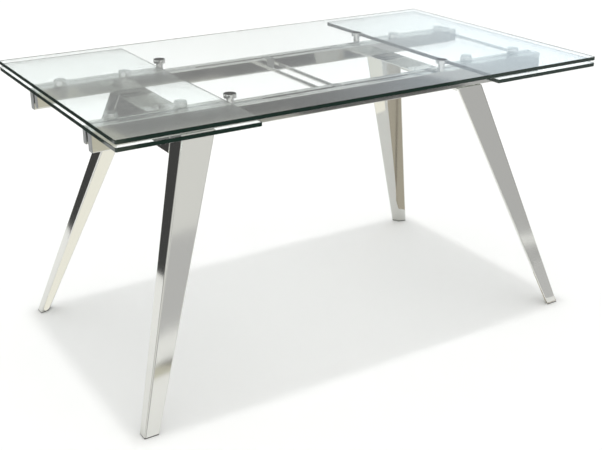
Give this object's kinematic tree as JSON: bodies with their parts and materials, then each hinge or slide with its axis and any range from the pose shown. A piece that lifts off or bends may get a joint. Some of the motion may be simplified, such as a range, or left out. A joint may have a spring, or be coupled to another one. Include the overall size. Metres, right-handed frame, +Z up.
{
  "type": "extendable dining table",
  "caption": "Clear glass dining table on a polished steel frame with splayed legs; a glass leaf on a ball-slide carriage pulls out from under each end.",
  "frame": {"origin": "on the floor, under the middle of the table top", "axes": "+X along the table's length towards the right-hand leaf, +Y across the table towards its back, +Z up"},
  "size_m": [1.4, 0.8, 0.75],
  "materials": {
    "clear_glass": "clear toughened float glass with polished green edges",
    "polished_steel": "mirror-polished stainless steel",
    "zinc_steel": "bright zinc plate",
    "bearing_steel": "ground and polished",
    "satin_aluminium": "satin",
    "grey_caps": "fine matt moulding",
    "black_rubber": "matt"
  },
  "bodies": {
    "base": {"main_glass": "clear_glass", "front_rail": "polished_steel", "back_rail": "polished_steel", "rail_end_caps": "grey_caps", "rail_nuts": "zinc_steel", "top_pads": "polished_steel", "top_posts": "polished_steel", "top_post_studs": "zinc_steel", "top_post_nuts": "zinc_steel", "leg_front_left": "polished_steel", "leg_front_right": "polished_steel", "leg_back_left": "polished_steel", "leg_back_right": "polished_steel", "foot_glides": "black_rubber", "frame_bolts": "zinc_steel", "frame_washers": "zinc_steel", "centre_stops": "satin_aluminium", "channel_screws": "zinc_steel", "left_beam": "polished_steel", "right_beam": "polished_steel", "left_channels": "zinc_steel", "right_channels": "zinc_steel", "left_slide_bumpers": "black_rubber", "right_slide_bumpers": "black_rubber"},
    "left_carriage": {"left_leaf": "clear_glass", "left_pucks": "polished_steel", "left_puck_studs": "zinc_steel", "left_puck_nuts": "zinc_steel", "left_front_bar": "polished_steel", "left_back_bar": "polished_steel", "left_bar_caps": "grey_caps", "left_inner_tie": "polished_steel", "left_tie_screws": "zinc_steel", "left_slide_members": "zinc_steel", "left_member_screws": "zinc_steel", "left_stop_lugs": "zinc_steel"},
    "left_cages": {"left_ball_cages": "zinc_steel", "left_balls": "bearing_steel"},
    "right_carriage": {"right_leaf": "clear_glass", "right_pucks": "polished_steel", "right_puck_studs": "zinc_steel", "right_puck_nuts": "zinc_steel", "right_front_bar": "polished_steel", "right_back_bar": "polished_steel", "right_bar_caps": "grey_caps", "right_inner_tie": "polished_steel", "right_outer_tie": "polished_steel", "right_tie_screws": "zinc_steel", "right_slide_members": "zinc_steel", "right_member_screws": "zinc_steel", "right_stop_lugs": "zinc_steel"},
    "right_cages": {"right_ball_cages": "zinc_steel", "right_balls": "bearing_steel"}
  },
  "joints": [
    {"name": "left_leaf_slide", "type": "slide", "parent": "base", "child": "left_carriage", "axis": [-1, 0, 0], "range_m": [0, 0.3]},
    {"name": "left_cages_slide", "type": "slide", "parent": "base", "child": "left_cages", "axis": [-1, 0, 0], "range_m": [0, 0.15]},
    {"name": "right_leaf_slide", "type": "slide", "parent": "base", "child": "right_carriage", "axis": [1, 0, 0], "range_m": [0, 0.3]},
    {"name": "right_cages_slide", "type": "slide", "parent": "base", "child": "right_cages", "axis": [1, 0, 0], "range_m": [0, 0.15]}
  ],
  "couplings": [
    {"joint": "left_cages_slide", "follows": "left_leaf_slide", "ratio": 0.5},
    {"joint": "right_cages_slide", "follows": "right_leaf_slide", "ratio": 0.5}
  ]
}
